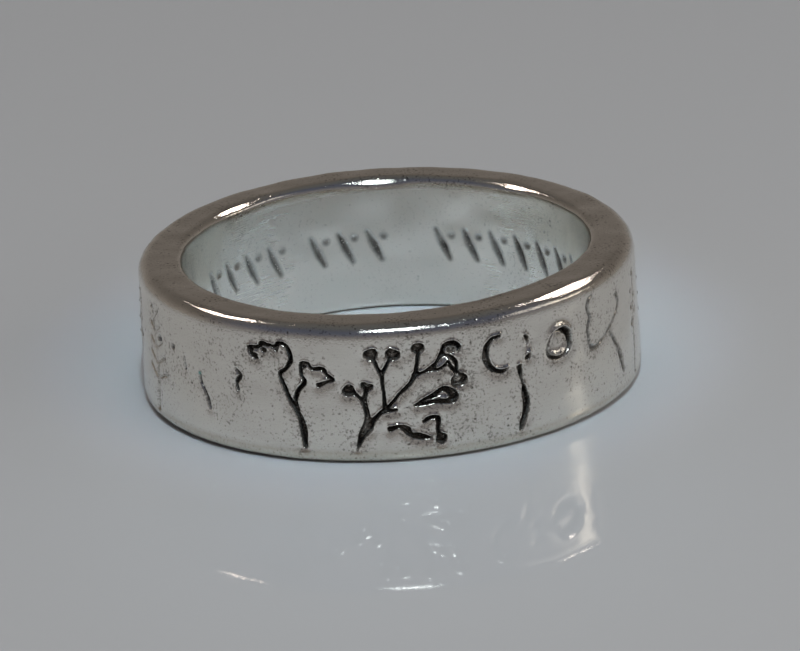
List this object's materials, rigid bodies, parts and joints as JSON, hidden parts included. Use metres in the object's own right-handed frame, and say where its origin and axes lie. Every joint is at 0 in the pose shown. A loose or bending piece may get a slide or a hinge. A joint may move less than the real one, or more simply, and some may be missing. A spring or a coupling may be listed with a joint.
{
  "type": "band ring",
  "caption": "Cast silver band ring with plant sprigs pressed into its outer wall and a round finger bore, lying on its lower edge.",
  "frame": {"origin": "on the ring's axis, in the plane of the lower edge that the ring lies on", "axes": "+Z along the finger bore, up from the lower edge; -Y is the front of the ring, with the branching sprig; +X is to the right seen from the front"},
  "size_m": [0.0212, 0.0212, 0.006],
  "materials": {
    "oxidised_silver": "soft polished cast silver, oxidised dark in the pressed sprigs"
  },
  "bodies": {
    "root": {"band": "oxidised_silver"}
  },
  "joints": []
}
